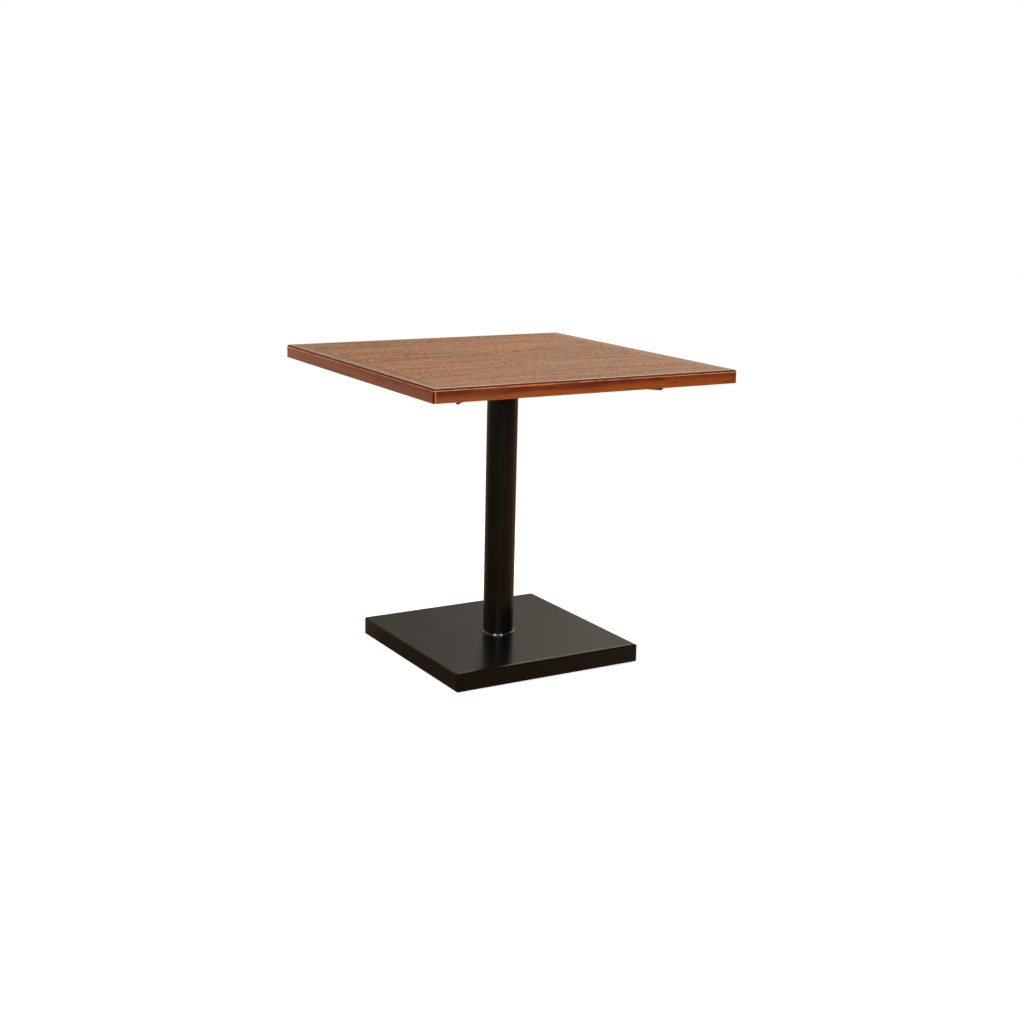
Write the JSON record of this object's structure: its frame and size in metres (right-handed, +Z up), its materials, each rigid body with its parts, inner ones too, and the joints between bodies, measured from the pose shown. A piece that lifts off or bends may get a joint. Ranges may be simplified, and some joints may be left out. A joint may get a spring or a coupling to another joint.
{
  "type": "bistro table",
  "caption": "Square bistro table: a framed solid-wood top on a round black steel column and a square weighted base, with screw feet that adjust for an uneven floor.",
  "frame": {"origin": "on the floor under the middle of the table, on the column axis", "axes": "+Z up; X along the grain of the top's boards; the front of the table faces -Y"},
  "size_m": [0.8, 0.8, 0.745],
  "materials": {
    "board_wood": "stained and lacquered, satin",
    "frame_wood": "stained and lacquered, satin",
    "spline_wood": "bare",
    "black_steel": "black powder coat, satin",
    "weight_iron": "black primer, matt",
    "ring_gloss": "gloss black",
    "zinc_steel": "zinc plated",
    "pad_plastic": "moulded, matt"
  },
  "bodies": {
    "table": {"field_board_1": "board_wood", "field_board_2": "board_wood", "field_board_3": "board_wood", "field_board_4": "board_wood", "field_board_5": "board_wood", "field_board_6": "board_wood", "frame_rail_front": "frame_wood", "frame_rail_right": "frame_wood", "frame_rail_back": "frame_wood", "frame_rail_left": "frame_wood", "mitre_splines": "spline_wood", "spider_arm_front_left": "black_steel", "spider_arm_front_right": "black_steel", "spider_arm_back_right": "black_steel", "spider_arm_back_left": "black_steel", "spider_hub_plate": "black_steel", "spider_column_socket": "black_steel", "column_tube": "black_steel", "column_foot_plug": "black_steel", "base_cover": "black_steel", "base_weight": "weight_iron", "column_foot_ring": "ring_gloss", "top_screws": "zinc_steel", "tie_rod": "zinc_steel", "tie_rod_washer_top": "zinc_steel", "tie_rod_washer_bottom": "zinc_steel", "tie_rod_nut_top": "zinc_steel", "tie_rod_nut_bottom": "zinc_steel"},
    "pad_front_left": {"foot_pad_front_left": "pad_plastic"},
    "stem_front_left": {"foot_stem_front_left": "zinc_steel"},
    "pad_front_right": {"foot_pad_front_right": "pad_plastic"},
    "stem_front_right": {"foot_stem_front_right": "zinc_steel"},
    "pad_back_right": {"foot_pad_back_right": "pad_plastic"},
    "stem_back_right": {"foot_stem_back_right": "zinc_steel"},
    "pad_back_left": {"foot_pad_back_left": "pad_plastic"},
    "stem_back_left": {"foot_stem_back_left": "zinc_steel"}
  },
  "joints": [
    {"name": "pad_drop_front_left", "type": "slide", "parent": "table", "child": "pad_front_left", "axis": [0, 0, -1], "range_m": [0, 0.0075]},
    {"name": "stem_turn_front_left", "type": "hinge", "parent": "pad_front_left", "child": "stem_front_left", "pos_m": [-0.19, -0.19, 0.02], "axis": [0, 0, -1], "range_deg": [0, 2160]},
    {"name": "pad_drop_front_right", "type": "slide", "parent": "table", "child": "pad_front_right", "axis": [0, 0, -1], "range_m": [0, 0.0075]},
    {"name": "stem_turn_front_right", "type": "hinge", "parent": "pad_front_right", "child": "stem_front_right", "pos_m": [0.19, -0.19, 0.02], "axis": [0, 0, -1], "range_deg": [0, 2160]},
    {"name": "pad_drop_back_right", "type": "slide", "parent": "table", "child": "pad_back_right", "axis": [0, 0, -1], "range_m": [0, 0.0075]},
    {"name": "stem_turn_back_right", "type": "hinge", "parent": "pad_back_right", "child": "stem_back_right", "pos_m": [0.19, 0.19, 0.02], "axis": [0, 0, -1], "range_deg": [0, 2160]},
    {"name": "pad_drop_back_left", "type": "slide", "parent": "table", "child": "pad_back_left", "axis": [0, 0, -1], "range_m": [0, 0.0075]},
    {"name": "stem_turn_back_left", "type": "hinge", "parent": "pad_back_left", "child": "stem_back_left", "pos_m": [-0.19, 0.19, 0.02], "axis": [0, 0, -1], "range_deg": [0, 2160]}
  ],
  "couplings": [
    {"joint": "stem_turn_front_left", "follows": "pad_drop_front_left", "rad_per_m": 5026.5},
    {"joint": "stem_turn_front_right", "follows": "pad_drop_front_right", "rad_per_m": 5026.5},
    {"joint": "stem_turn_back_right", "follows": "pad_drop_back_right", "rad_per_m": 5026.5},
    {"joint": "stem_turn_back_left", "follows": "pad_drop_back_left", "rad_per_m": 5026.5}
  ]
}
